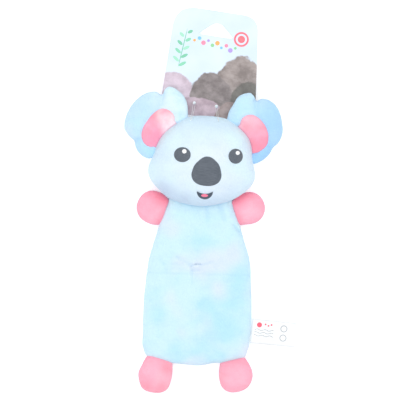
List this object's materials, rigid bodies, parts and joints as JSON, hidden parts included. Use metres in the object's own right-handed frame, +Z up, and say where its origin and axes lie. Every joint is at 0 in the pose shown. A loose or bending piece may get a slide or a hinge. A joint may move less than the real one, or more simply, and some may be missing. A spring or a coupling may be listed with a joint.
{
  "type": "plush koala toy",
  "caption": "Flat plush koala with a stuffed head, scalloped ears, arms and feet, a pouch body, a care label and a hang card with a hanger hole.",
  "frame": {"origin": "middle of the upper pouch's flat back, on the surface that the toy lies on", "axes": "+Y from the feet to the ears, +Z up out of the face, +X across the toy to the right as it is seen from above its face; the words left and right in the names are taken the same way, so every _left piece lies at -X"},
  "size_m": [0.1531, 0.3339, 0.0547],
  "materials": {
    "blue_plush": "short pile",
    "pink_plush": "short pile",
    "stuffing": "loose fibre",
    "dark_thread": "satin stitch",
    "white_thread": "satin stitch",
    "pink_thread": "satin stitch",
    "label_satin": "satin ribbon",
    "printed_card": "satin",
    "clear_nylon": "gloss",
    "squeaker_plastic": "matte",
    "reed_plastic": "gloss"
  },
  "bodies": {
    "torso": {"upper_body_front_panel": "blue_plush", "upper_body_back_panel": "blue_plush", "upper_body_fill": "stuffing"},
    "head": {"head_front_panel": "blue_plush", "head_back_panel": "blue_plush", "head_fill": "stuffing", "squeaker_bulb": "squeaker_plastic", "squeaker_reed": "reed_plastic", "tag_pin_left": "clear_nylon", "tag_pin_right": "clear_nylon", "eye_left": "dark_thread", "eye_left_glint": "white_thread", "eye_right": "dark_thread", "eye_right_glint": "white_thread", "nose": "dark_thread", "mouth": "dark_thread", "tongue": "pink_thread"},
    "ear_left": {"ear_left_front_panel": "blue_plush", "ear_left_inner_panel": "pink_plush", "ear_left_back_panel": "blue_plush", "ear_left_fill": "stuffing"},
    "ear_right": {"ear_right_front_panel": "blue_plush", "ear_right_inner_panel": "pink_plush", "ear_right_back_panel": "blue_plush", "ear_right_fill": "stuffing"},
    "arm_left": {"arm_left_front_panel": "pink_plush", "arm_left_back_panel": "pink_plush", "arm_left_fill": "stuffing"},
    "arm_right": {"arm_right_front_panel": "pink_plush", "arm_right_back_panel": "pink_plush", "arm_right_fill": "stuffing"},
    "lower_pouch": {"lower_body_front_panel": "blue_plush", "lower_body_back_panel": "blue_plush", "lower_body_fill": "stuffing"},
    "foot_left": {"foot_left_front_panel": "pink_plush", "foot_left_back_panel": "pink_plush", "foot_left_fill": "stuffing"},
    "foot_right": {"foot_right_front_panel": "pink_plush", "foot_right_back_panel": "pink_plush", "foot_right_fill": "stuffing"},
    "label": {"care_label": "label_satin"},
    "card": {"hang_card": "printed_card"}
  },
  "joints": [
    {"name": "neck_nod", "type": "hinge", "parent": "torso", "child": "head", "pos_m": [0, 0.033, 0.0125], "axis": [-1, 0, 0], "range_deg": [-30, 60]},
    {"name": "ear_left_flop", "type": "hinge", "parent": "head", "child": "ear_left", "pos_m": [-0.03065, 0.08913, 0.0235], "axis": [-0.633, -0.7741, 0], "range_deg": [-20, 15], "stiffness_Nm_per_rad": 0.04},
    {"name": "ear_right_flop", "type": "hinge", "parent": "head", "child": "ear_right", "pos_m": [0.03603, 0.08654, 0.0235], "axis": [-0.5229, 0.8524, 0], "range_deg": [-20, 15], "stiffness_Nm_per_rad": 0.04},
    {"name": "arm_left_flop", "type": "hinge", "parent": "torso", "child": "arm_left", "pos_m": [-0.0343, 0.0116, 0.007], "axis": [0.2981, 0.9245, 0.2376], "range_deg": [-60, 40]},
    {"name": "arm_right_flop", "type": "hinge", "parent": "torso", "child": "arm_right", "pos_m": [0.0343, 0.0116, 0.007], "axis": [0.2981, -0.9245, -0.2376], "range_deg": [-60, 40]},
    {"name": "waist_fold", "type": "hinge", "parent": "torso", "child": "lower_pouch", "pos_m": [0, -0.0312, 0.007], "axis": [-1, 0, 0], "range_deg": [-60, 70]},
    {"name": "foot_left_flop", "type": "hinge", "parent": "lower_pouch", "child": "foot_left", "pos_m": [-0.03125, -0.1053, 0.007], "axis": [-0.9661, 0.2582, 0], "range_deg": [-60, 75]},
    {"name": "foot_right_flop", "type": "hinge", "parent": "lower_pouch", "child": "foot_right", "pos_m": [0.03125, -0.1053, 0.007], "axis": [-0.9661, -0.2582, 0], "range_deg": [-60, 75]},
    {"name": "label_flap", "type": "hinge", "parent": "lower_pouch", "child": "label", "pos_m": [0.047, -0.079, 0.007], "axis": [-0.0785, -0.9969, 0], "range_deg": [-70, 110]},
    {"name": "card_swing", "type": "hinge", "parent": "head", "child": "card", "pos_m": [0.0021, 0.1156, 0.009], "axis": [0.9914, -0.1298, 0.0134], "range_deg": [-25, 0]}
  ]
}
